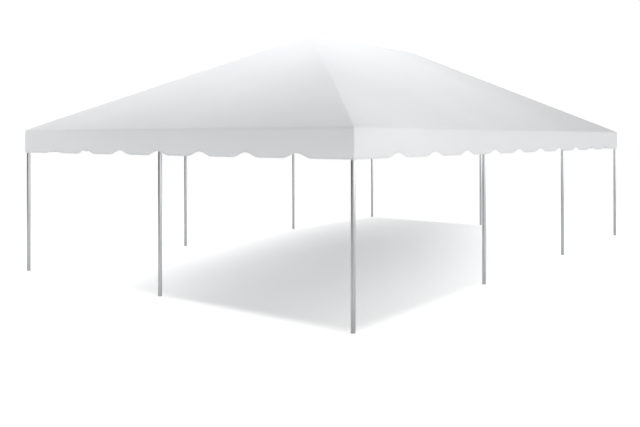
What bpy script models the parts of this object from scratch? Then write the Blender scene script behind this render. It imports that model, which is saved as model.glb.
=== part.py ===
"""A marquee tent, 20 feet by 30 feet between leg centres: a hipped vinyl canopy on a frame of 2 inch tube.

Metres, +Z up. The origin is on the ground under the middle of the tent. +X runs along the ridge, the
front is the long side at -Y, and the left end is at -X. Every centre line of the frame lies on one hipped
surface, which starts at the eave tubes, and the canopy lies parallel to it, just outside the fittings.
"""

import math

import bmesh
import bpy
from mathutils import Matrix, Vector

# The plan: bays of ten feet, three along the front and two along the end
BAY = 3.048
BAYS_LONG = 3
BAYS_SHORT = 2

# The section: the height of the eave tubes' centre line, and the rise from there to the ridge's
EAVE_HEIGHT = 2.113
RISE = 1.536

# The tubes, and the sleeves of the fittings that they push into
TUBE_RADIUS = 0.0254
SLEEVE_RADIUS = 0.0286
SLEEVE_REACH = 0.185
SOCKET_FLOOR = 0.080
HUB_RADIUS = 0.0275
ROUND_SIDES = 16
RIM_BEVEL = 0.002

# The canopy and its valance: the eave edge stands this far outside the legs' centre lines
SHEET_THICKNESS = 0.004
EAVE_OVERHANG = 0.042
VALANCE_BOTTOM = 1.790
SCALLOPS_LONG = 11
SCALLOPS_SHORT = 8
NOTCH_DEPTH = 0.056
NOTCH_HALF_SHARE = 0.27
NOTCH_STEPS = 10

# The clearance that pieces keep where they touch
GAP = 0.0003

# How far a helper that cuts or trims runs on past what it cuts
OVERRUN = 0.1

# Faces that meet at more than the first angle are shaded as an edge, and at more than the second bevelled
SHADED_EDGE = math.radians(30)
BEVELLED_EDGE = math.radians(60)

# Worked out from the dimensions above
HALF_LENGTH = BAYS_LONG * BAY / 2
HALF_WIDTH = BAYS_SHORT * BAY / 2
CROWN_X = HALF_LENGTH - HALF_WIDTH
PITCH = math.atan2(RISE, HALF_WIDTH)
EDGE_X = HALF_LENGTH + EAVE_OVERHANG
EDGE_Y = HALF_WIDTH + EAVE_OVERHANG
SHEET_LIFT = (SLEEVE_RADIUS + GAP + SHEET_THICKNESS) / math.cos(PITCH)
EAVE_EDGE_Z = EAVE_HEIGHT + SHEET_LIFT - EAVE_OVERHANG * math.tan(PITCH)
APEX_Z = EAVE_HEIGHT + RISE + SHEET_LIFT
VALANCE_TOP = EAVE_EDGE_Z - SHEET_THICKNESS / math.cos(PITCH) - GAP


def clear_scene():
    for obj in list(bpy.data.objects):
        bpy.data.objects.remove(obj, do_unlink=True)


def new_collection(name):
    collection = bpy.data.collections.new(name)
    bpy.context.scene.collection.children.link(collection)
    return collection


def new_empty(name):
    empty = bpy.data.objects.new(name, None)
    parts.objects.link(empty)
    return empty


def new_material(name, colour, roughness, metallic):
    material = bpy.data.materials.new(name)
    material.use_nodes = True
    surface = material.node_tree.nodes["Principled BSDF"]
    surface.inputs["Base Color"].default_value = (*colour, 1)
    surface.inputs["Roughness"].default_value = roughness
    surface.inputs["Metallic"].default_value = metallic
    material.diffuse_color = (*colour, 1)
    return material


def new_object(name, data, collection):
    obj = bpy.data.objects.new(name, data)
    collection.objects.link(obj)
    return obj


def new_part(name, data, material, parent):
    """A sub-part of the tent. Like parts share their mesh, and so its material."""
    obj = new_object(name, data, parts)
    if not data.materials:
        data.materials.append(material)
    obj.parent = parent
    return obj


def new_helper(name, data):
    """A shape that only cuts or joins others. It isn't part of the tent."""
    obj = new_object(name, data, helpers)
    obj.hide_render = True
    obj.display_type = "WIRE"
    return obj


def turn_along(direction):
    """The rotation that takes +Z to the direction and keeps +Y as upright as it can be."""
    return direction.to_track_quat("Z", "Y")


def shade_round(mesh):
    mesh.shade_smooth()
    mesh.set_sharp_from_angle(angle=SHADED_EDGE)


def cylinder_mesh(name, radius, length):
    """A round bar along Z, centred on the origin."""
    mesh = bpy.data.meshes.new(name)
    form = bmesh.new()
    bmesh.ops.create_cone(
        form, cap_ends=True, segments=ROUND_SIDES, radius1=radius, radius2=radius, depth=length
    )
    form.to_mesh(mesh)
    form.free()
    shade_round(mesh)
    return mesh


def evaluated_mesh(obj, name):
    """A copy of the object's mesh with its modifiers applied."""
    bpy.context.view_layer.update()
    graph = bpy.context.evaluated_depsgraph_get()
    mesh = bpy.data.meshes.new_from_object(obj.evaluated_get(graph))
    mesh.name = name
    return mesh


def add_boolean(obj, operation, other):
    cut = obj.modifiers.new(f"{operation.lower()} {other.name}", "BOOLEAN")
    cut.operation = operation
    cut.solver = "EXACT"
    cut.object = other


# The frame's fittings

def sleeve_between(name, start, end, radius):
    """A round bar from one point to another, for the fittings' sleeves and the bores in them."""
    run = end - start
    obj = new_helper(name, cylinder_mesh(name, radius, run.length))
    obj.location = (start + end) / 2
    obj.rotation_mode = "QUATERNION"
    obj.rotation_quaternion = turn_along(run)
    return obj


def hub_mesh(name):
    mesh = bpy.data.meshes.new(name)
    form = bmesh.new()
    bmesh.ops.create_uvsphere(
        form, u_segments=ROUND_SIDES, v_segments=ROUND_SIDES // 2, radius=HUB_RADIUS
    )
    form.to_mesh(mesh)
    form.free()
    return mesh


def opposite_of(direction, directions):
    """Whether another of the directions points straight back along this one."""
    return any((other + direction).length < GAP for other in directions)


def fitting_mesh(name, directions):
    """A hub with one open sleeve in each direction. Two opposite sleeves are one straight run."""
    pattern = new_helper(f"{name} pattern", hub_mesh(f"{name} hub"))
    joined = []
    for number, direction in enumerate(directions):
        if opposite_of(direction, joined):
            continue
        start = -SLEEVE_REACH * direction if opposite_of(direction, directions) else Vector()
        end = SLEEVE_REACH * direction
        sleeve = sleeve_between(f"{name} sleeve {number}", start, end, SLEEVE_RADIUS)
        add_boolean(pattern, "UNION", sleeve)
        joined.append(direction)
    for number, direction in enumerate(directions):
        floor = SOCKET_FLOOR * direction
        mouth = (SLEEVE_REACH + OVERRUN) * direction
        bore = sleeve_between(f"{name} bore {number}", floor, mouth, TUBE_RADIUS + GAP)
        add_boolean(pattern, "DIFFERENCE", bore)
    mesh = evaluated_mesh(pattern, name)
    shade_round(mesh)
    return mesh


def place_fitting(name, mesh, place, quarter_turns):
    fitting = new_part(name, mesh, fitting_metal, frame)
    fitting.location = place
    fitting.rotation_euler.z = quarter_turns * math.pi / 2


def make_fittings():
    """Each kind is drawn as it stands at the front left or the left crown, and turned for the others."""
    along, across, up = Vector((1, 0, 0)), Vector((0, 1, 0)), Vector((0, 0, 1))
    side_rise = Vector((0, HALF_WIDTH, RISE)).normalized()
    hip_rise = Vector((HALF_WIDTH, HALF_WIDTH, RISE)).normalized()
    plan_falls = ((-1, 0), (-1, 1), (-1, -1), (0, 1), (0, -1))
    falls = [Vector((HALF_WIDTH * x, HALF_WIDTH * y, -RISE)).normalized() for x, y in plan_falls]
    corner = fitting_mesh("corner fitting", [along, across, -up, hip_rise])
    side = fitting_mesh("side fitting", [along, -along, -up, side_rise])
    crown = fitting_mesh("crown fitting", [along, *falls])
    for name, x, y, quarter_turns in leg_places():
        at_corner = (abs(x), abs(y)) == (HALF_LENGTH, HALF_WIDTH)
        kind, mesh = ("corner", corner) if at_corner else ("side", side)
        place_fitting(f"{kind}_fitting_{name}", mesh, (x, y, EAVE_HEIGHT), quarter_turns)
    place_fitting("crown_fitting_left", crown, (-CROWN_X, 0, EAVE_HEIGHT + RISE), 0)
    place_fitting("crown_fitting_right", crown, (CROWN_X, 0, EAVE_HEIGHT + RISE), 2)


# The frame's tubes

def place_tube(name, mesh, start, end):
    tube = new_part(name, mesh, tube_metal, frame)
    tube.location = (start + end) / 2
    tube.rotation_mode = "QUATERNION"
    tube.rotation_quaternion = turn_along(end - start)
    return tube


def tube_mesh(name, span):
    """A tube that fills a span between two fittings' centres, down to the floors of their sockets."""
    return cylinder_mesh(name, TUBE_RADIUS, span - 2 * (SOCKET_FLOOR + GAP))


def leg_places():
    """Each leg's name, its place in plan and its fitting's quarter turns, round from the front left."""
    corner, middle = HALF_LENGTH, CROWN_X
    return [
        ("front_left", -corner, -HALF_WIDTH, 0),
        ("front_middle_left", -middle, -HALF_WIDTH, 0),
        ("front_middle_right", middle, -HALF_WIDTH, 0),
        ("front_right", corner, -HALF_WIDTH, 1),
        ("right_end", corner, 0, 1),
        ("back_right", corner, HALF_WIDTH, 2),
        ("back_middle_right", middle, HALF_WIDTH, 2),
        ("back_middle_left", -middle, HALF_WIDTH, 2),
        ("back_left", -corner, HALF_WIDTH, 3),
        ("left_end", -corner, 0, 3),
    ]


def make_legs():
    length = EAVE_HEIGHT - SOCKET_FLOOR - GAP
    mesh = cylinder_mesh("leg", TUBE_RADIUS, length)
    for name, x, y, _ in leg_places():
        leg = place_tube(f"leg_{name}", mesh, Vector((x, y, 0)), Vector((x, y, length)))
        rim = leg.modifiers.new("rim", "BEVEL")
        rim.width = RIM_BEVEL
        rim.segments = 1
        rim.limit_method = "ANGLE"
        rim.angle_limit = BEVELLED_EDGE


def make_eave_tubes():
    """One tube in each bay, from each leg's place to the next one round the tent."""
    names = [
        "front_left", "front_middle", "front_right", "right_front", "right_back",
        "back_right", "back_middle", "back_left", "left_back", "left_front",
    ]
    mesh = tube_mesh("bay tube", BAY)
    places = [Vector((x, y, EAVE_HEIGHT)) for _, x, y, _ in leg_places()]
    for name, start, end in zip(names, places, places[1:] + places[:1]):
        place_tube(f"eave_tube_{name}", mesh, start, end)
    crown_z = EAVE_HEIGHT + RISE
    place_tube("ridge_tube", mesh, Vector((-CROWN_X, 0, crown_z)), Vector((CROWN_X, 0, crown_z)))


def make_rafters():
    rafter = tube_mesh("rafter", Vector((HALF_WIDTH, RISE)).length)
    hip = tube_mesh("hip rafter", Vector((HALF_WIDTH, HALF_WIDTH, RISE)).length)
    for end, along in (("left", -1), ("right", 1)):
        crown = Vector((along * CROWN_X, 0, EAVE_HEIGHT + RISE))
        place_tube(f"end_rafter_{end}", rafter, Vector((along * HALF_LENGTH, 0, EAVE_HEIGHT)), crown)
        for side, across in (("front", -1), ("back", 1)):
            eave = Vector((along * CROWN_X, across * HALF_WIDTH, EAVE_HEIGHT))
            corner = Vector((along * HALF_LENGTH, across * HALF_WIDTH, EAVE_HEIGHT))
            place_tube(f"side_rafter_{side}_{end}", rafter, eave, crown)
            place_tube(f"hip_rafter_{side}_{end}", hip, corner, crown)


# The canopy's four slopes

def hip_surface():
    """The canopy's outer surface, run on past the eaves: a box with its top drawn in to the ridge line."""
    low_z = EAVE_EDGE_Z - OVERRUN * math.tan(PITCH)
    mesh = bpy.data.meshes.new("hip surface")
    form = bmesh.new()
    bmesh.ops.create_cube(form, size=1)
    for corner in form.verts:
        top = corner.co.z > 0
        corner.co.x = math.copysign(CROWN_X if top else EDGE_X + OVERRUN, corner.co.x)
        corner.co.y = 0 if top else math.copysign(EDGE_Y + OVERRUN, corner.co.y)
        corner.co.z = APEX_Z if top else low_z
    bmesh.ops.remove_doubles(form, verts=form.verts, dist=GAP)
    flat = [face for face in form.faces if face.calc_center_median().z < low_z + GAP]
    bmesh.ops.delete(form, geom=flat, context="FACES_ONLY")
    bmesh.ops.recalc_face_normals(form, faces=form.faces)
    form.to_mesh(mesh)
    form.free()
    return mesh


def flat_outline(name, points, thickness):
    """A plate of this thickness in the XY plane, centred on it, with a straight-sided outline."""
    outline = bpy.data.curves.new(name, "CURVE")
    outline.dimensions = "2D"
    outline.fill_mode = "BOTH"
    outline.extrude = thickness / 2
    spline = outline.splines.new("POLY")
    spline.points.add(len(points) - 1)
    for point, place in zip(spline.points, points):
        point.co = (*place, 0, 1)
    spline.use_cyclic_u = True
    return outline


def slope_trim(name, points, shift):
    """A tall prism over one slope in plan. The shift leaves a fine seam beside the other slopes."""
    drawn = new_object(name + " outline", flat_outline(name, points, 2 * APEX_Z), helpers)
    mesh = evaluated_mesh(drawn, name)
    bpy.data.objects.remove(drawn)
    form = bmesh.new()
    form.from_mesh(mesh)
    bmesh.ops.remove_doubles(form, verts=form.verts, dist=GAP)
    bmesh.ops.recalc_face_normals(form, faces=form.faces)
    form.to_mesh(mesh)
    form.free()
    trim = new_helper(name, mesh)
    trim.location = (shift[0], shift[1], APEX_Z)
    return trim


def make_roof():
    """Each slope is the whole canopy, trimmed to that slope's place in plan."""
    surface = hip_surface()
    for side, sign in (("front", -1), ("back", 1)):
        plan = [(-CROWN_X, 0), (CROWN_X, 0), (EDGE_X, sign * EDGE_Y), (-EDGE_X, sign * EDGE_Y)]
        make_slope("roof_" + side, surface, slope_trim(f"{side} slope", plan, (0, sign * GAP)))
    for end, sign in (("left", -1), ("right", 1)):
        plan = [(sign * CROWN_X, 0), (sign * EDGE_X, -EDGE_Y), (sign * EDGE_X, EDGE_Y)]
        make_slope("roof_" + end, surface, slope_trim(f"{end} slope", plan, (sign * GAP, 0)))


def make_slope(name, surface, trim):
    slope = new_part(name, surface, roof_vinyl, canopy)
    skin = slope.modifiers.new("skin", "SOLIDIFY")
    skin.thickness = SHEET_THICKNESS
    skin.offset = -1
    skin.use_even_offset = True
    add_boolean(slope, "INTERSECT", trim)


# The valance

def scallop_points(half_run, scallops, half_end):
    """The valance's lower edge from one end to the other: flat tongues between rounded notches."""
    pitch = 2 * half_run / scallops
    half_notch = NOTCH_HALF_SHARE * pitch
    points = [(-half_end, VALANCE_BOTTOM)]
    for number in range(1, scallops):
        centre = -half_run + number * pitch
        for step in range(NOTCH_STEPS + 1):
            share = 2 * step / NOTCH_STEPS - 1
            height = NOTCH_DEPTH * (1 + math.cos(math.pi * share)) / 2
            points.append((centre + share * half_notch, VALANCE_BOTTOM + height))
    points.append((half_end, VALANCE_BOTTOM))
    return points


def make_valance(name, edge, half_end, place, quarter_turns):
    """A strip hung below the eave, drawn as it hangs at the front and turned to its side of the tent."""
    points = [(-half_end, VALANCE_TOP), *edge, (half_end, VALANCE_TOP)]
    valance = new_part(name, flat_outline(name, points, SHEET_THICKNESS), valance_vinyl, canopy)
    upright = Matrix.Rotation(math.pi / 2, 4, "X")
    to_side = Matrix.Rotation(quarter_turns * math.pi / 2, 4, "Z")
    valance.matrix_local = to_side @ Matrix.Translation((0, -place, 0)) @ upright


def make_valances():
    """The long valances run to the corners, and the short ones fit between them."""
    half = SHEET_THICKNESS / 2
    between = EDGE_Y - SHEET_THICKNESS - GAP
    long_edge = scallop_points(EDGE_X, SCALLOPS_LONG, EDGE_X)
    short_edge = scallop_points(EDGE_Y, SCALLOPS_SHORT, between)
    make_valance("valance_front", long_edge, EDGE_X, EDGE_Y - half, 0)
    make_valance("valance_right", short_edge, between, EDGE_X - half, 1)
    make_valance("valance_back", long_edge, EDGE_X, EDGE_Y - half, 2)
    make_valance("valance_left", short_edge, between, EDGE_X - half, 3)


clear_scene()
parts = new_collection("marquee tent")
helpers = new_collection("cutters")
helpers.hide_render = True
frame = new_empty("frame")
canopy = new_empty("canopy")
tube_metal = new_material("tube metal", (0.60, 0.61, 0.62), 0.35, 1.0)
fitting_metal = new_material("fitting metal", (0.52, 0.53, 0.54), 0.45, 1.0)
roof_vinyl = new_material("roof vinyl", (0.86, 0.87, 0.87), 0.45, 0.0)
valance_vinyl = new_material("valance vinyl", (0.82, 0.83, 0.83), 0.45, 0.0)
make_legs()
make_eave_tubes()
make_rafters()
make_fittings()
make_roof()
make_valances()
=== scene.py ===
"""The looks of a marquee tent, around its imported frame: a white vinyl canopy on metal tubes, in a white studio.

Metres, +Z up, in the frame's own coordinates: the ridge runs along X, and the front of the tent is at -Y.
"""

import math

import bmesh
import bpy
from mathutils import Matrix, Vector, noise


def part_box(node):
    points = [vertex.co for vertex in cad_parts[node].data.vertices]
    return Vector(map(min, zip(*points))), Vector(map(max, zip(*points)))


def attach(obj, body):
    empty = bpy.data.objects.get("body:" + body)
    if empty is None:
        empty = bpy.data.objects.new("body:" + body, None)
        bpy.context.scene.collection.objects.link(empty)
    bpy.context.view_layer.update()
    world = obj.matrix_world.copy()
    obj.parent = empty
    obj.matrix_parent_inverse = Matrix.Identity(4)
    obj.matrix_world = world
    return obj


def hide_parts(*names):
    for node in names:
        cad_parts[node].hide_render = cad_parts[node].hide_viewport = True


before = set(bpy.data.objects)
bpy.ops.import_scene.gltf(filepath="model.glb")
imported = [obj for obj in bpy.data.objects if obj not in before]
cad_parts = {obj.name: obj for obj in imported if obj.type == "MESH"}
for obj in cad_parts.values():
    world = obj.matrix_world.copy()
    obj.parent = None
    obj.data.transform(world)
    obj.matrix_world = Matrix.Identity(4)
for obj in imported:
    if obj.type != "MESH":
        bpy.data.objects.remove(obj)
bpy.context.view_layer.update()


def middle(node):
    low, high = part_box(node)
    return (low + high) / 2


# The frame's places and sizes, as packed
HALF_LENGTH = -middle("leg_front_left").x
HALF_WIDTH = -middle("leg_front_left").y
CROWN_X = -middle("leg_front_middle_left").x
EAVE_HEIGHT = middle("eave_tube_front_middle").z
CROWN_HEIGHT = middle("ridge_tube").z
TUBE_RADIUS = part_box("leg_front_left")[1].x - middle("leg_front_left").x
EDGE_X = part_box("roof_front")[1].x
EDGE_Y = -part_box("roof_front")[0].y
APEX_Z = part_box("roof_front")[1].z
VALANCE_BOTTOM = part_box("valance_front")[0].z
SLEEVE_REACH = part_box("side_fitting_left_end")[1].y - middle("side_fitting_left_end").y
SLEEVE_RADIUS = -HALF_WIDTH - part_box("side_fitting_front_middle_left")[0].y
SOCKET_FLOOR = EAVE_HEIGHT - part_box("leg_front_left")[1].z

# The slopes, all of one pitch
SLOPE = (CROWN_HEIGHT - EAVE_HEIGHT) / HALF_WIDTH
PITCH = math.atan(SLOPE)
EAVE_EDGE_Z = APEX_Z - EDGE_Y * SLOPE

# The vinyl sheet: its folds are rounded, and it sags a little between the tubes that carry it
SHEET_THICKNESS = 0.0012
CREASE_BLEND = 0.012
CORNER_RADIUS = 0.016
FOLD_RADIUS = 0.035
FOLD_STEPS = 7
PANEL_SAG = 0.012
RIPPLE = 0.0025
RIPPLE_LENGTH = 1.1

# The valance: it leaves the fold leaning out and curls in towards its scalloped hem
LEAN_OUT = math.radians(3)
LEAN_IN = math.radians(3.5)
FOLD_END = -0.003
VALANCE_ROWS = 9
SCALLOPS_LONG = 11
SCALLOPS_SHORT = 8
NOTCH_DEPTH = 0.056
NOTCH_HALF_SHARE = 0.27
NOTCH_STEPS = 10
WAVE_DEPTH = 0.004
WAVE_LENGTHS = (1.31, 0.47)

# The tape that binds the hem, its stitches, and the bands where the vinyl's widths are welded together
TAPE_DEPTH = 0.022
TAPE_THICKNESS = 0.0007
STITCH_LENGTH = 0.0042
STITCH_PITCH = 0.006
STITCH_RADIUS = 0.0005
STITCH_RISE = 0.018
WELD_PITCH = 1.524
WELD_WIDTH = 0.030
WELD_HEIGHT = 0.0006
HIP_BAND_WIDTH = 0.050

# The tubes and the sleeves that hold them
ROUND_SIDES = 48
TUBE_WALL = 0.003
SLEEVE_CLEARANCE = 0.0003
RIM_RADIUS = 0.0008
HUB_RADIUS = 0.0275
BEAD_RADIUS = 0.0032
PIN_PLACE = 0.145
PIN_RADIUS = 0.004
PIN_TIP = 0.003
PIN_HEAD_RADIUS = 0.0075
PIN_HEAD_HEIGHT = 0.004
LOCK_WIRE_RADIUS = 0.0011


# Small tools

def new_object(name, mesh, *materials):
    obj = bpy.data.objects.new(name, mesh)
    bpy.context.scene.collection.objects.link(obj)
    for material in materials:
        mesh.materials.append(material)
    return obj


def mesh_from(form, name):
    mesh = bpy.data.meshes.new(name)
    form.to_mesh(mesh)
    form.free()
    mesh.shade_smooth()
    return mesh


def smooth_step(low, high, value):
    share = min(max((value - low) / (high - low), 0), 1)
    return share * share * (3 - 2 * share)


# The canopy's outline in plan, as columns round the tent from the front left corner

def notch_height(along, half_run, scallops):
    """How far the valance's lower edge rises here, in the nearest notch between two scallops."""
    pitch = 2 * half_run / scallops
    number = min(max(round((along + half_run) / pitch), 1), scallops - 1)
    share = (along + half_run - number * pitch) / (NOTCH_HALF_SHARE * pitch)
    return NOTCH_DEPTH * (1 + math.cos(math.pi * share)) / 2 if abs(share) < 1 else 0


def side_places(half_run, scallops):
    """Places along one side with whether the roof has a column there: it has fewer of them than the valance."""
    pitch = 2 * half_run / scallops
    half_notch = NOTCH_HALF_SHARE * pitch
    beside_corner = (0, 0.008, 0.02, 0.045, 0.1, 0.2, 0.35, 0.48)
    places = [(CORNER_RADIUS - half_run + step, True) for step in beside_corner]
    for number in range(1, scallops):
        centre = number * pitch - half_run
        for step in range(-NOTCH_STEPS, NOTCH_STEPS + 1):
            places.append((centre + step / NOTCH_STEPS * half_notch, step % NOTCH_STEPS == 0))
        if number < scallops - 1:
            gap = pitch - 2 * half_notch
            places += [(centre + half_notch + gap * share, share == 0.5) for share in (0.25, 0.5, 0.75)]
    places += [(-place, True) for place, _ in reversed(places[: len(beside_corner)])]
    return places


SIDES = ((EDGE_X, SCALLOPS_LONG), (EDGE_Y, SCALLOPS_SHORT))
BAND_INSET = 0.06


def make_columns():
    """The places round the tent where the sheet has points from top to bottom.

    Each is (side, share along it, turn round the corner after it, in the roof, notch height, place along it).
    """
    columns = []
    for side in range(4):
        half_run, scallops = SIDES[side % 2]
        for place, in_roof in side_places(half_run, scallops):
            share = place / (half_run - CORNER_RADIUS)
            columns.append((side, share, 0, in_roof, notch_height(place, half_run, scallops), place))
        columns += [(side, 1, turn * math.pi / 12, True, 0, half_run) for turn in range(1, 6)]
    return columns


def plan_place(column, offset):
    """Where a column stands in plan, this far outside the eave edge."""
    side, share, turn = column[:3]
    run, stand = (EDGE_X + offset, EDGE_Y + offset)
    if side % 2:
        run, stand = stand, run
    radius = CORNER_RADIUS * (1 + offset / EDGE_Y)
    place = Vector((share * (run - radius) + radius * math.sin(turn), radius - stand - radius * math.cos(turn), 0))
    return Matrix.Rotation(side * math.pi / 2, 3, "Z") @ place


# The canopy's form

def soft_minimum(first, second):
    blend = max(CREASE_BLEND - abs(first - second), 0)
    return min(first, second) - blend * blend / (4 * CREASE_BLEND)


def triangle_sag(first, second, third):
    """How far a triangle between three tubes sags, from its three distances as shares that add up to 1."""
    return (27 * max(first, 0) * max(second, 0) * max(third, 0)) ** 1.5


def panel_sag(x, y):
    """The sag of the panel between tubes that this place is in: 0 along its edges and 1 at its lowest."""
    x, y = abs(x), abs(y)
    end_rise = EDGE_X - x
    side_rise = EDGE_Y - y
    if side_rise <= end_rise:
        rise = side_rise / EDGE_Y
        if x < CROWN_X:
            return math.cos(math.pi * x / (2 * CROWN_X)) ** 2 * math.sin(math.pi * rise) ** 2
        from_rafter = (x - CROWN_X) / EDGE_Y
        return triangle_sag(rise, from_rafter, 1 - rise - from_rafter)
    rise = end_rise / EDGE_Y
    from_rafter = y / EDGE_Y
    return triangle_sag(rise, from_rafter, 1 - rise - from_rafter)


def roof_height(place):
    """The height of the sheet's outer face: four slopes with rounded hips and ridge, less the sag."""
    x, y = place.x, place.y
    rise = soft_minimum(SLOPE * (EDGE_Y + y), SLOPE * (EDGE_Y - y))
    for end in (x, -x):
        rise = soft_minimum(rise, SLOPE * (EDGE_X + end))
    sag = panel_sag(x, y)
    ripple = RIPPLE * noise.noise(Vector((x, y, 0)) / RIPPLE_LENGTH) * math.sqrt(sag)
    return EAVE_EDGE_Z + rise - PANEL_SAG * sag - ripple


def fold_profile():
    """The eave's fold as (offset, height) steps: an arc from the slope's direction to the valance's."""
    centre_offset = FOLD_END - FOLD_RADIUS * math.cos(LEAN_OUT)
    start_offset = centre_offset + FOLD_RADIUS * math.sin(PITCH)
    centre_z = EAVE_EDGE_Z - SLOPE * start_offset - FOLD_RADIUS * math.cos(PITCH)
    first, last = math.pi / 2 - PITCH, LEAN_OUT
    profile = []
    for step in range(FOLD_STEPS + 1):
        angle = first + (last - first) * step / FOLD_STEPS
        offset = centre_offset + FOLD_RADIUS * math.cos(angle)
        profile.append((offset, centre_z + FOLD_RADIUS * math.sin(angle)))
    return profile


def valance_wave(column, drop):
    """The hanging strip's slow waves, which grow towards its free edge and die out at the corners."""
    side, along = column[0], column[5]
    half_run = EDGE_Y if side % 2 else EDGE_X
    away = smooth_step(0, 0.6, half_run - abs(along))
    wave = sum(math.sin(2 * math.pi * along / length + 1.7 * side + length) for length in WAVE_LENGTHS)
    return WAVE_DEPTH * wave / len(WAVE_LENGTHS) * away * drop ** 1.5


def valance_place(column, height, proud=0):
    """A point on the valance's outer face at this height, or this far proud of it."""
    fold_offset, fold_z = FOLD[-1]
    depth = fold_z - VALANCE_BOTTOM
    fall = fold_z - height
    drop = fall / depth
    offset = fold_offset + fall * math.tan(LEAN_OUT)
    offset -= fall * drop * (math.tan(LEAN_OUT) + math.tan(LEAN_IN)) / 2
    place = plan_place(column, offset + valance_wave(column, drop) + proud)
    place.z = height
    return place


def roof_rows():
    """How far inside the eave edge each row of the roof runs, from the ridge down to the fold."""
    near_ridge = (0, 0.004, 0.008, 0.012, 0.02, 0.04, 0.09)
    steps = 16
    low, high = 0.12, EDGE_Y - 0.18
    rows = [EDGE_Y - step for step in near_ridge]
    rows += [high + (low - high) * step / steps for step in range(steps + 1)]
    return rows + [0.06]


FOLD = fold_profile()


def ring(form, places):
    return [form.verts.new(place) for place in places]


def join_rings(form, upper, lower):
    for number in range(len(upper)):
        ahead = (number + 1) % len(upper)
        form.faces.new((lower[number], lower[ahead], upper[ahead], upper[number]))


def join_to_finer_ring(form, upper, lower, kept):
    """Joins a ring to one with more columns. kept are the finer ring's columns that the upper one has."""
    for number, start in enumerate(kept):
        end = kept[(number + 1) % len(kept)]
        run = range(start, end + 1) if end > start else [*range(start, len(lower)), *range(end + 1)]
        ahead = (number + 1) % len(upper)
        form.faces.new([*(lower[place] for place in run), upper[ahead], upper[number]])


def on_roof(column, inset):
    place = plan_place(column, -inset)
    place.z = roof_height(place)
    return place


def canopy_surface():
    """The whole canopy as one sheet: rings of points from the ridge to the fold, and on down to the hem."""
    columns = make_columns()
    kept = [number for number, column in enumerate(columns) if column[3]]
    form = bmesh.new()
    upper = None
    for inset in roof_rows():
        lower = ring(form, (on_roof(columns[number], inset) for number in kept))
        if upper:
            join_rings(form, upper, lower)
        upper = lower
    first_offset, first_z = FOLD[0]
    starts = [on_roof(column, -first_offset) for column in columns]
    lower = ring(form, starts)
    join_to_finer_ring(form, upper, lower, kept)
    upper = lower
    for step, (offset, height) in enumerate(FOLD[1:], 1):
        places = []
        for column, start in zip(columns, starts):
            place = plan_place(column, offset)
            place.z = height + (start.z - first_z) * (1 - step / FOLD_STEPS)
            places.append(place)
        lower = ring(form, places)
        join_rings(form, upper, lower)
        upper = lower
    top = FOLD[-1][1]
    for row in range(1, VALANCE_ROWS + 1):
        places = []
        for column in columns:
            bottom = VALANCE_BOTTOM + column[4]
            places.append(valance_place(column, top + (bottom - top) * row / VALANCE_ROWS))
        lower = ring(form, places)
        join_rings(form, upper, lower)
        upper = lower
    bmesh.ops.remove_doubles(form, verts=form.verts, dist=0.0005)
    return mesh_from(form, "canopy")


def make_canopy():
    canopy = new_object("canopy", canopy_surface(), vinyl)
    skin = canopy.modifiers.new("skin", "SOLIDIFY")
    skin.thickness = SHEET_THICKNESS
    skin.offset = -1
    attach(canopy, "root")
    sides = ("front", "right", "back", "left")
    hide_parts(*[f"roof_{side}" for side in sides], *[f"valance_{side}" for side in sides])
    return canopy


# What is sewn and welded on the canopy

def make_tape():
    """The tape folded round the valance's lower edge: a closed band that follows its scallops."""
    inner = -SHEET_THICKNESS - TAPE_THICKNESS
    section = (
        (TAPE_DEPTH, TAPE_THICKNESS),
        (0, TAPE_THICKNESS),
        (-TAPE_THICKNESS, -SHEET_THICKNESS / 2),
        (0, inner),
        (TAPE_DEPTH, inner),
    )
    columns = make_columns()
    form = bmesh.new()
    rings = []
    for rise, proud in section:
        places = (valance_place(column, VALANCE_BOTTOM + column[4] + rise, proud) for column in columns)
        rings.append(ring(form, places))
    for upper, lower in zip(rings, rings[1:] + rings[:1]):
        join_rings(form, upper, lower)
    bmesh.ops.recalc_face_normals(form, faces=form.faces)
    tape = new_object("hem_tape", mesh_from(form, "hem tape"), tape_cloth)
    tape.data.set_sharp_from_angle(angle=math.radians(40))
    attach(tape, "root")
    return tape


def add_stitch(form, start, end, outwards):
    """One stitch: a spindle that lies on the tape."""
    along = (end - start).normalized()
    across = along.cross(outwards)
    girth = [form.verts.new((start + end) / 2 + STITCH_RADIUS * way) for way in (outwards, across, -outwards, -across)]
    tips = [form.verts.new(start), form.verts.new(end)]
    for number, corner in enumerate(girth):
        ahead = girth[(number + 1) % len(girth)]
        form.faces.new((corner, ahead, tips[0]))
        form.faces.new((ahead, corner, tips[1]))


def make_stitches():
    """The row of stitches that holds the tape, all the way round on its outer face."""
    form = bmesh.new()
    for side in range(4):
        half_run, scallops = SIDES[side % 2]
        turn = Matrix.Rotation(side * math.pi / 2, 3, "Z")
        straight = half_run - CORNER_RADIUS
        for number in range(int(2 * straight / STITCH_PITCH)):
            start = -straight + (number + 0.15) * STITCH_PITCH
            ends = []
            for place in (start, start + STITCH_LENGTH):
                rise = notch_height(place, half_run, scallops)
                column = (side, place / straight, 0, False, rise, place)
                ends.append(valance_place(column, VALANCE_BOTTOM + rise + STITCH_RISE, TAPE_THICKNESS))
            add_stitch(form, *ends, turn @ Vector((0, -1, 0)))
    stitches = new_object("hem_stitches", mesh_from(form, "hem stitches"), thread)
    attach(stitches, "root")
    return stitches


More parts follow.
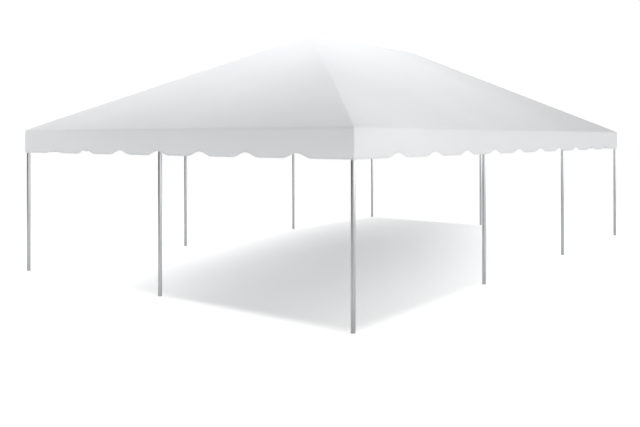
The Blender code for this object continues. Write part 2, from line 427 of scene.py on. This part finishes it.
def add_band(form, start, end, width):
    """A closed thin band that follows the roof from one place in plan to another, sunk into the sheet."""
    steps = max(int((end - start).length / 0.12), 2)
    across = (end - start).cross(Vector((0, 0, 1))).normalized() * width / 2
    section = ((-1, -SHEET_THICKNESS / 2), (-0.94, WELD_HEIGHT), (0, WELD_HEIGHT), (0.94, WELD_HEIGHT), (1, -SHEET_THICKNESS / 2))
    rows = []
    for step in range(steps + 1):
        centre = start.lerp(end, step / steps)
        row = []
        for share, lift in section:
            place = centre + across * share
            place.z = roof_height(place) + lift
            row.append(form.verts.new(place))
        rows.append(row)
    for behind, ahead in zip(rows, rows[1:]):
        for number in range(len(section)):
            other = (number + 1) % len(section)
            form.faces.new((behind[number], behind[other], ahead[other], ahead[number]))
    for row in (rows[0], rows[-1]):
        form.faces.new(row)


def make_welds():
    """The welded laps between widths of vinyl, from the eave up to a hip or the ridge, and the bands on the hips."""
    form = bmesh.new()
    for side in range(4):
        half_run, stand = (EDGE_X, EDGE_Y) if side % 2 == 0 else (EDGE_Y, EDGE_X)
        turn = Matrix.Rotation(side * math.pi / 2, 3, "Z")
        count = int((half_run - 0.3) / WELD_PITCH + 0.5)
        for number in range(-count, count):
            along = (number + 0.5) * WELD_PITCH
            top = max(abs(along) - half_run, -EDGE_Y)
            low = Vector((along, -stand + BAND_INSET, 0))
            high = Vector((along, -stand - top - BAND_INSET, 0))
            if (high - low).length > 4 * BAND_INSET:
                add_band(form, turn @ low, turn @ high, WELD_WIDTH)
    for x in (-1, 1):
        for y in (-1, 1):
            low = Vector((x * (EDGE_X - BAND_INSET), y * (EDGE_Y - BAND_INSET), 0))
            high = Vector((x * (EDGE_X - EDGE_Y + BAND_INSET), y * BAND_INSET, 0))
            add_band(form, low, high, HIP_BAND_WIDTH)
    bmesh.ops.recalc_face_normals(form, faces=form.faces)
    welds = new_object("welded_seams", mesh_from(form, "welded seams"), vinyl)
    welds.data.set_sharp_from_angle(angle=math.radians(30))
    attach(welds, "root")
    return welds


# The tubes

def add_turned(form, profile, matrix, closed=False):
    """Adds what a profile of (radius, height) points sweeps round its axis. Its two ends lie on the axis or join up."""
    rings = []
    for radius, height in profile:
        angles = [2 * math.pi * number / ROUND_SIDES for number in range(ROUND_SIDES if radius else 1)]
        places = (matrix @ Vector((radius * math.cos(angle), radius * math.sin(angle), height)) for angle in angles)
        rings.append(ring(form, places))
    for lower, upper in zip(rings, rings[1:] + (rings[:1] if closed else [])):
        for number in range(ROUND_SIDES):
            ahead = number + 1
            corners = [lower[number % len(lower)], lower[ahead % len(lower)], upper[ahead % len(upper)], upper[number % len(upper)]]
            form.faces.new(dict.fromkeys(corners))


def rounded_rim(inner, outer, height, way):
    """The rim of a tube that faces up (way 1) or down (way -1), as (radius, height) points from outside to inside."""
    points = []
    for centre, first in ((outer - RIM_RADIUS, 0), (inner + RIM_RADIUS, math.pi / 2)):
        for step in range(4):
            angle = first + step * math.pi / 6
            points.append((centre + RIM_RADIUS * math.cos(angle), height + way * RIM_RADIUS * (math.sin(angle) - 1)))
    return points


def tube_direction(node):
    """The way a tube runs, upwards where it rises, from its node's name."""
    words = node.split("_")
    inwards = {"left": 1, "right": -1, "front": 1, "back": -1}
    if words[0] == "leg":
        return Vector((0, 0, 1))
    if words[0] == "ridge" or words[0] == "eave" and words[2] in ("front", "back"):
        return Vector((1, 0, 0))
    if words[0] == "eave":
        return Vector((0, 1, 0))
    run = Vector((0, 0, CROWN_HEIGHT - EAVE_HEIGHT))
    if words[0] in ("end", "hip"):
        run.x = HALF_WIDTH * inwards[words[-1]]
    if words[0] in ("side", "hip"):
        run.y = HALF_WIDTH * inwards[words[2]]
    return run.normalized()


def make_tube(node):
    """A tube in its node's place, as long as the node."""
    direction = tube_direction(node)
    low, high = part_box(node)
    longest = max(range(3), key=lambda axis: abs(direction[axis]))
    beyond_axis = 2 * TUBE_RADIUS * math.sqrt(1 - direction[longest] ** 2)
    length = (high[longest] - low[longest] - beyond_axis) / abs(direction[longest])
    profile = rounded_rim(TUBE_RADIUS - TUBE_WALL, TUBE_RADIUS, length / 2, 1)
    profile += reversed(rounded_rim(TUBE_RADIUS - TUBE_WALL, TUBE_RADIUS, -length / 2, -1))
    form = bmesh.new()
    add_turned(form, profile, Matrix.Identity(4), closed=True)
    bmesh.ops.recalc_face_normals(form, faces=form.faces)
    tube = new_object(f"{node}_round", mesh_from(form, node), aluminium)
    tube.data.set_sharp_from_angle(angle=math.radians(50))
    tube.location = (low + high) / 2
    tube.rotation_mode = "QUATERNION"
    tube.rotation_quaternion = direction.to_track_quat("Z", "Y")
    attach(tube, "root")
    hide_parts(node)
    return tube


# The fittings: sleeves welded to a hub, each with a pin through it that a wire lock holds

def sleeve_directions(kind):
    """The ways a fitting's sleeves point, with the way its own pin's head points."""
    rise = CROWN_HEIGHT - EAVE_HEIGHT
    x, y, down = Vector((1, 0, 0)), Vector((0, 1, 0)), Vector((0, 0, -1))
    if kind == "corner":
        hip = Vector((HALF_WIDTH, HALF_WIDTH, rise)).normalized()
        return [(x, y), (y, x), (down, (x + y).normalized()), (hip, (x - y).normalized())]
    if kind == "side":
        rafter = Vector((0, HALF_WIDTH, rise)).normalized()
        return [(x, y), (-x, y), (down, x), (rafter, x)]
    ways = [(x, y)]
    for plan in ((-1, 0), (-1, 1), (-1, -1), (0, 1), (0, -1)):
        fall = Vector((plan[0] * HALF_WIDTH, plan[1] * HALF_WIDTH, -rise)).normalized()
        ways.append((fall, fall.cross(down).normalized()))
    return ways


def along_axis(direction):
    return direction.to_track_quat("Z", "Y").to_matrix().to_4x4()


def sleeve_profile():
    """A sleeve from the fitting's centre: solid as far as the tube's end, and then a socket with a rounded rim."""
    bore = TUBE_RADIUS + SLEEVE_CLEARANCE
    rim = rounded_rim(bore, SLEEVE_RADIUS, SLEEVE_REACH, 1)
    return [(0, 0), (SLEEVE_RADIUS, 0), *rim, (bore, SOCKET_FLOOR), (0, SOCKET_FLOOR)]


def united(name, forms):
    """One mesh from several closed ones, with what lies inside another removed."""
    objects = []
    for form in forms:
        bmesh.ops.recalc_face_normals(form, faces=form.faces)
        objects.append(new_object(name, mesh_from(form, name)))
    whole = objects[0]
    for other in objects[1:]:
        union = whole.modifiers.new("union", "BOOLEAN")
        union.operation = "UNION"
        union.object = other
    mesh = bpy.data.meshes.new_from_object(whole.evaluated_get(bpy.context.evaluated_depsgraph_get()))
    for obj in objects:
        bpy.data.objects.remove(obj)
    return mesh


def add_weld_beads(form):
    """A row of beads in every hollow corner where two sleeves meet."""
    hollow = [edge for edge in form.edges if edge.calc_face_angle_signed(0) < -math.radians(12)]
    centres = [(edge.verts[0].co + edge.verts[1].co) / 2 for edge in hollow]
    placed = []
    for centre in centres:
        if all((centre - other).length > BEAD_RADIUS for other in placed):
            placed.append(centre)
            bmesh.ops.create_icosphere(form, subdivisions=2, radius=BEAD_RADIUS, matrix=Matrix.Translation(centre))


def fitting_mesh(kind):
    forms = [bmesh.new()]
    bmesh.ops.create_uvsphere(forms[0], u_segments=ROUND_SIDES, v_segments=ROUND_SIDES // 2, radius=HUB_RADIUS)
    for direction, _ in sleeve_directions(kind):
        form = bmesh.new()
        add_turned(form, sleeve_profile(), along_axis(direction))
        forms.append(form)
    mesh = united(f"{kind} fitting", forms)
    form = bmesh.new()
    form.from_mesh(mesh)
    add_weld_beads(form)
    form.to_mesh(mesh)
    form.free()
    mesh.shade_smooth()
    mesh.set_sharp_from_angle(angle=math.radians(35))
    return mesh


def pin_profile():
    """A pin along its own axis from its tip to its domed head, with its middle on the sleeve's axis."""
    tip = -SLEEVE_RADIUS - PIN_TIP
    head = SLEEVE_RADIUS + SLEEVE_CLEARANCE
    shaft = [(0, tip), (PIN_RADIUS * 0.6, tip), (PIN_RADIUS, tip + PIN_RADIUS * 0.5), (PIN_RADIUS, head)]
    edge = head + PIN_HEAD_HEIGHT / 2
    dome = []
    for step in range(5):
        angle = step * math.pi / 8
        dome.append((PIN_HEAD_RADIUS * math.cos(angle), edge + PIN_HEAD_HEIGHT / 2 * math.sin(angle)))
    return [*shaft, (PIN_HEAD_RADIUS, head), *dome[:-1], (0, dome[-1][1])]


def add_lock_wire(form, matrix):
    """A wire that springs from the pin's head round the sleeve to its tip, in the plane of the pin."""
    sides, steps = 8, 24
    reach = SLEEVE_RADIUS + LOCK_WIRE_RADIUS
    rows = []
    for step in range(steps + 1):
        angle = math.pi * (0.97 * step / steps - 0.5) + math.pi / 2
        outwards = Vector((0, -math.sin(angle), math.cos(angle)))
        row = []
        for number in range(sides):
            turn = 2 * math.pi * number / sides
            offset = outwards * math.cos(turn) + Vector((1, 0, 0)) * math.sin(turn)
            row.append(form.verts.new(matrix @ (outwards * reach + offset * LOCK_WIRE_RADIUS)))
        rows.append(row)
    for behind, ahead in zip(rows, rows[1:]):
        for number in range(sides):
            other = (number + 1) % sides
            form.faces.new((behind[number], behind[other], ahead[other], ahead[number]))
    for row in (rows[0], rows[-1]):
        form.faces.new(row)


def pins_mesh(kind):
    form = bmesh.new()
    for direction, head in sleeve_directions(kind):
        third = head.cross(direction)
        axes = Matrix((direction, third, head)).transposed().to_4x4()
        matrix = Matrix.Translation(direction * PIN_PLACE) @ axes
        add_turned(form, pin_profile(), matrix)
        add_lock_wire(form, matrix)
    bmesh.ops.recalc_face_normals(form, faces=form.faces)
    mesh = mesh_from(form, f"{kind} pins")
    mesh.set_sharp_from_angle(angle=math.radians(40))
    return mesh


def make_fitting(node, kind, place, quarter_turns, bodies, pins):
    """A fitting with its pins, in its node's place."""
    for name, mesh, material in ((f"{node}_welded", bodies[kind], galvanised), (f"{node}_pins", pins[kind], pin_steel)):
        piece = bpy.data.objects.new(name, mesh)
        bpy.context.scene.collection.objects.link(piece)
        if not mesh.materials:
            mesh.materials.append(material)
        piece.location = place
        piece.rotation_euler.z = quarter_turns * math.pi / 2
        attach(piece, "root")
        if piece.name.endswith("_welded"):
            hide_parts(node)


def make_fittings():
    bodies = {kind: fitting_mesh(kind) for kind in ("corner", "side", "crown")}
    pins = {kind: pins_mesh(kind) for kind in bodies}
    quarter_turns = {"front": 0, "right": 1, "back": 2, "left": 3}
    corners = {"front_left": 0, "front_right": 1, "back_right": 2, "back_left": 3}
    for leg in [name[4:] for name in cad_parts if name.startswith("leg_")]:
        place = middle(f"leg_{leg}")
        place.z = EAVE_HEIGHT
        if leg in corners:
            make_fitting(f"corner_fitting_{leg}", "corner", place, corners[leg], bodies, pins)
        else:
            make_fitting(f"side_fitting_{leg}", "side", place, quarter_turns[leg.split("_")[0]], bodies, pins)
    for end, turns, way in (("left", 0, -1), ("right", 2, 1)):
        crown = Vector((way * CROWN_X, 0, CROWN_HEIGHT))
        make_fitting(f"crown_fitting_{end}", "crown", crown, turns, bodies, pins)


# The materials

def new_material(name):
    material = bpy.data.materials.new(name)
    material.use_nodes = True
    return material, material.node_tree.nodes, material.node_tree.links


def add_noise(nodes, links, scale, detail, stretch=(1, 1, 1)):
    """A noise pattern fixed to the piece, stretched along its axes."""
    coordinates = nodes.new("ShaderNodeTexCoord")
    mapping = nodes.new("ShaderNodeMapping")
    mapping.inputs["Scale"].default_value = stretch
    pattern = nodes.new("ShaderNodeTexNoise")
    pattern.inputs["Scale"].default_value = scale
    pattern.inputs["Detail"].default_value = detail
    links.new(coordinates.outputs["Object"], mapping.inputs["Vector"])
    links.new(mapping.outputs["Vector"], pattern.inputs["Vector"])
    return pattern.outputs["Fac"]


def add_range(nodes, links, source, low, high):
    """Turns a pattern of 0 to 1 into values from low to high."""
    spread = nodes.new("ShaderNodeMapRange")
    spread.inputs["From Min"].default_value = 0.3
    spread.inputs["From Max"].default_value = 0.7
    spread.inputs["To Min"].default_value = low
    spread.inputs["To Max"].default_value = high
    links.new(source, spread.inputs["Value"])
    return spread.outputs["Result"]


def add_colours(nodes, links, source, low, high):
    mix = nodes.new("ShaderNodeMix")
    mix.data_type = "RGBA"
    mix.inputs["A"].default_value = (*low, 1)
    mix.inputs["B"].default_value = (*high, 1)
    links.new(source, mix.inputs["Factor"])
    return mix.outputs["Result"]


def add_bump(nodes, links, source, strength, distance):
    bump = nodes.new("ShaderNodeBump")
    bump.inputs["Strength"].default_value = strength
    bump.inputs["Distance"].default_value = distance
    links.new(source, bump.inputs["Height"])
    return bump.outputs["Normal"]


def make_vinyl():
    """White coated vinyl: faintly mottled, half matt, with the fine grain of the fabric inside it."""
    material, nodes, links = new_material("white vinyl")
    surface = nodes["Principled BSDF"]
    cloud = add_range(nodes, links, add_noise(nodes, links, 0.9, 3), 0, 1)
    grain = add_noise(nodes, links, 320, 2)
    colour = add_colours(nodes, links, cloud, (0.795, 0.810, 0.825), (0.818, 0.832, 0.846))
    links.new(colour, surface.inputs["Base Color"])
    links.new(add_range(nodes, links, grain, 0.38, 0.52), surface.inputs["Roughness"])
    links.new(add_bump(nodes, links, grain, 0.12, 0.0004), surface.inputs["Normal"])
    surface.inputs["Specular IOR Level"].default_value = 0.15
    return material


def make_aluminium():
    """Drawn tube: fine streaks along it, which vary its brightness and its polish."""
    material, nodes, links = new_material("drawn aluminium")
    surface = nodes["Principled BSDF"]
    streaks = add_noise(nodes, links, 160, 4, (1, 1, 0.02))
    links.new(add_colours(nodes, links, streaks, (0.80, 0.81, 0.82), (0.87, 0.88, 0.89)), surface.inputs["Base Color"])
    links.new(add_range(nodes, links, streaks, 0.32, 0.38), surface.inputs["Roughness"])
    surface.inputs["Metallic"].default_value = 1
    return material


def make_tape_cloth():
    """White binding tape: a fine ribbed weave, a little duller than the vinyl."""
    material, nodes, links = new_material("white tape")
    surface = nodes["Principled BSDF"]
    ribs = add_noise(nodes, links, 900, 1, (1, 1, 0.3))
    links.new(add_colours(nodes, links, ribs, (0.76, 0.77, 0.78), (0.81, 0.82, 0.83)), surface.inputs["Base Color"])
    links.new(add_range(nodes, links, ribs, 0.65, 0.8), surface.inputs["Roughness"])
    links.new(add_bump(nodes, links, ribs, 0.3, 0.0003), surface.inputs["Normal"])
    return material


def make_thread():
    """White polyester thread, with its twist as a fine pattern."""
    material, nodes, links = new_material("white thread")
    surface = nodes["Principled BSDF"]
    twist = add_noise(nodes, links, 1500, 1)
    links.new(add_colours(nodes, links, twist, (0.70, 0.71, 0.72), (0.82, 0.83, 0.84)), surface.inputs["Base Color"])
    surface.inputs["Roughness"].default_value = 0.7
    return material


def make_pin_steel():
    """Bright zinc-plated pins and wire, slightly clouded."""
    material, nodes, links = new_material("plated pin steel")
    surface = nodes["Principled BSDF"]
    cloud = add_noise(nodes, links, 90, 3)
    links.new(add_colours(nodes, links, cloud, (0.55, 0.55, 0.54), (0.72, 0.72, 0.71)), surface.inputs["Base Color"])
    links.new(add_range(nodes, links, cloud, 0.22, 0.38), surface.inputs["Roughness"])
    surface.inputs["Metallic"].default_value = 1
    return material


def make_galvanised():
    """Zinc-coated steel: the crystals of the coating show as flat patches of slightly different grey."""
    material, nodes, links = new_material("galvanised steel")
    surface = nodes["Principled BSDF"]
    coordinates = nodes.new("ShaderNodeTexCoord")
    crystals = nodes.new("ShaderNodeTexVoronoi")
    crystals.inputs["Scale"].default_value = 110
    links.new(coordinates.outputs["Object"], crystals.inputs["Vector"])
    split = nodes.new("ShaderNodeSeparateColor")
    links.new(crystals.outputs["Color"], split.inputs["Color"])
    patches = split.outputs["Red"]
    links.new(add_colours(nodes, links, patches, (0.48, 0.50, 0.52), (0.62, 0.63, 0.64)), surface.inputs["Base Color"])
    links.new(add_range(nodes, links, patches, 0.36, 0.50), surface.inputs["Roughness"])
    surface.inputs["Metallic"].default_value = 1
    return material


# The studio

BRIGHT_SIDE = Vector((0.575, -0.818, 0))
SKY_MEAN, SKY_SIDE, SKY_FALL = 0.69, 0.36, 0.46
REFLECTED_MEAN, REFLECTED_SIDE, REFLECTED_FALL = 0.85, 0.92, 1.0
FLOOR_WHITE = 0.8
GLOW_FAR = 0.69
# The floor's painted shadow under the tent: its glow falls to SHADE_GLOW there, lifted towards its ends, front and
# back, with soft edges SHADE_EDGE wide
SHADE_GLOW, SHADE_RISE = 0.14, 0.042
SHADE_RISE_FRONT, SHADE_RISE_BACK = 0.024, 0.042
SHADE_SHIFT = 0.3
SHADE_EDGE = 0.2
FLOOR_SIZE = 150
AIM = Vector((0, 0, 2))
SOFT_LIGHTS = (
    ("high over the left crown", (-3, 0, 9), 4, 284),
    ("high over the front slope", (1, -2, 10), 4, 14),
    ("behind the left end", (-6, 5, 5.5), 3, 97),
    ("over the middle", (0.5, -1, 5.5), 3, 12),
    ("over the right end", (5, -1, 6), 3, 24),
    ("before the front corner", (-4, -5.8, 5.2), 3, 14),
    ("close to the front corner", (-4, -4, 3.5), 1.5, 5),
)


def make_camera():
    """The photograph's viewpoint, with its horizon above the middle of the picture."""
    picture_width, focal_length = 640, 723.5
    camera = bpy.data.cameras.new("camera")
    camera.sensor_width = 36
    camera.lens = camera.sensor_width * focal_length / picture_width
    camera.shift_x = -47.1 / picture_width
    camera.shift_y = -75.9 / picture_width
    camera.clip_end = 500
    obj = bpy.data.objects.new("camera", camera)
    bpy.context.scene.collection.objects.link(obj)
    obj.location = (-10.596, -7.459, 2.0165)
    obj.rotation_euler = (math.radians(90), 0, math.radians(-54.89))
    bpy.context.scene.camera = obj


def make_world():
    """White behind the tent. Its light is brighter from the side, and what metal reflects of it more so."""
    world = bpy.data.worlds.new("studio")
    world.use_nodes = True
    bpy.context.scene.world = world
    nodes, links = world.node_tree.nodes, world.node_tree.links
    nodes.clear()
    coordinates = nodes.new("ShaderNodeTexCoord")
    path = nodes.new("ShaderNodeLightPath")

    def add_background():
        background = nodes.new("ShaderNodeBackground")
        background.inputs["Color"].default_value = (1, 1, 1, 1)
        return background

    def add_gradient(mean, slope):
        towards = nodes.new("ShaderNodeVectorMath")
        towards.operation = "DOT_PRODUCT"
        towards.inputs[1].default_value = slope
        level = nodes.new("ShaderNodeMath")
        level.operation = "ADD"
        level.inputs[1].default_value = mean
        positive = nodes.new("ShaderNodeMath")
        positive.operation = "MAXIMUM"
        positive.inputs[1].default_value = 0
        background = add_background()
        links.new(coordinates.outputs["Generated"], towards.inputs[0])
        links.new(towards.outputs["Value"], level.inputs[0])
        links.new(level.outputs["Value"], positive.inputs[0])
        links.new(positive.outputs["Value"], background.inputs["Strength"])
        return background

    def add_choice(ray, otherwise, chosen):
        mix = nodes.new("ShaderNodeMixShader")
        links.new(path.outputs[ray], mix.inputs["Fac"])
        links.new(otherwise, mix.inputs[1])
        links.new(chosen.outputs["Background"], mix.inputs[2])
        return mix.outputs["Shader"]

    soft = add_gradient(SKY_MEAN, SKY_SIDE * BRIGHT_SIDE - Vector((0, 0, SKY_FALL)))
    reflected = add_gradient(REFLECTED_MEAN, REFLECTED_SIDE * BRIGHT_SIDE - Vector((0, 0, REFLECTED_FALL)))
    white = add_background()
    white.inputs["Strength"].default_value = 1.05
    light = add_choice("Is Glossy Ray", soft.outputs["Background"], reflected)
    output = nodes.new("ShaderNodeOutputWorld")
    links.new(add_choice("Is Camera Ray", light, white), output.inputs["Surface"])


def make_floor():
    """A pale floor that glows a little, with a painted shadow under the tent where its glow is lower. The metal
    reflects it without its glow.
    """
    material, nodes, links = new_material("studio floor")
    surface = nodes["Principled BSDF"]
    surface.inputs["Base Color"].default_value = (FLOOR_WHITE, FLOOR_WHITE, FLOOR_WHITE, 1)
    surface.inputs["Roughness"].default_value = 1
    surface.inputs["Specular IOR Level"].default_value = 0
    surface.inputs["Emission Color"].default_value = (1, 1, 1, 1)
    coordinates = nodes.new("ShaderNodeTexCoord")
    split = nodes.new("ShaderNodeSeparateXYZ")
    links.new(coordinates.outputs["Object"], split.inputs["Vector"])
    across = nodes.new("ShaderNodeVectorMath")
    across.operation = "DOT_PRODUCT"
    across.inputs[1].default_value = BRIGHT_SIDE
    links.new(coordinates.outputs["Object"], across.inputs[0])

    def add_math(operation, first, second):
        """A math node whose inputs are sockets or plain numbers."""
        node = nodes.new("ShaderNodeMath")
        node.operation = operation
        for socket, value in zip(node.inputs, (first, second)):
            if isinstance(value, bpy.types.NodeSocket):
                links.new(value, socket)
            else:
                socket.default_value = value
        return node.outputs["Value"]

    # A painted shadow: the glow is lower inside a soft-edged window under the tent, deepest along a line across it
    under = []
    for axis, half in (("X", HALF_LENGTH), ("Y", HALF_WIDTH)):
        edge = nodes.new("ShaderNodeMapRange")
        edge.interpolation_type = "SMOOTHSTEP"
        edge.inputs["From Min"].default_value = half + SHADE_EDGE
        edge.inputs["From Max"].default_value = half - SHADE_EDGE
        links.new(add_math("ABSOLUTE", split.outputs[axis], 0), edge.inputs["Value"])
        under.append(edge.outputs["Result"])
    sideways = add_math("ADD", across.outputs["Value"], SHADE_SHIFT)
    rise = add_math("MULTIPLY", add_math("MULTIPLY", sideways, sideways), SHADE_RISE)
    for limit, amount in (("MINIMUM", SHADE_RISE_FRONT), ("MAXIMUM", SHADE_RISE_BACK)):
        distance = add_math(limit, split.outputs["Y"], 0)
        further = add_math("MULTIPLY", add_math("MULTIPLY", distance, distance), amount)
        rise = add_math("ADD", rise, further)
    # How much glow the painted shadow takes away, less towards its ends and its front and back
    shade = add_math("SUBTRACT", GLOW_FAR - SHADE_GLOW, rise)
    painted_shadow = add_math("MULTIPLY", add_math("MAXIMUM", shade, 0), add_math("MULTIPLY", *under))
    glow = add_math("SUBTRACT", GLOW_FAR, painted_shadow)
    path = nodes.new("ShaderNodeLightPath")
    direct = add_math("SUBTRACT", 1, path.outputs["Is Glossy Ray"])
    links.new(add_math("MULTIPLY", glow, direct), surface.inputs["Emission Strength"])
    form = bmesh.new()
    bmesh.ops.create_grid(form, x_segments=1, y_segments=1, size=FLOOR_SIZE)
    new_object("floor", mesh_from(form, "floor"), material)


def new_light(name, kind, place, strength):
    light = bpy.data.lights.new(name, kind)
    light.energy = strength
    obj = bpy.data.objects.new(name, light)
    bpy.context.scene.collection.objects.link(obj)
    obj.location = place
    obj.visible_camera = False
    obj.visible_glossy = False
    return obj


def make_lights():
    for name, place, size, power in SOFT_LIGHTS:
        soft = new_light(name, "AREA", place, power)
        soft.data.shape = "DISK"
        soft.data.size = size
        soft.rotation_mode = "QUATERNION"
        soft.rotation_quaternion = (AIM - Vector(place)).to_track_quat("-Z", "Y")


bpy.context.scene.view_settings.view_transform = "Standard"
vinyl = make_vinyl()
tape_cloth = make_tape_cloth()
thread = make_thread()
aluminium = make_aluminium()
galvanised = make_galvanised()
pin_steel = make_pin_steel()

canopy = make_canopy()
sewn = [make_tape(), make_stitches(), make_welds()]
tube_nodes = [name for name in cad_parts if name.startswith("leg_") or "_tube" in name or "_rafter" in name]
tubes = {node: make_tube(node) for node in tube_nodes}
make_fittings()

make_camera()
make_world()
make_floor()
make_lights()
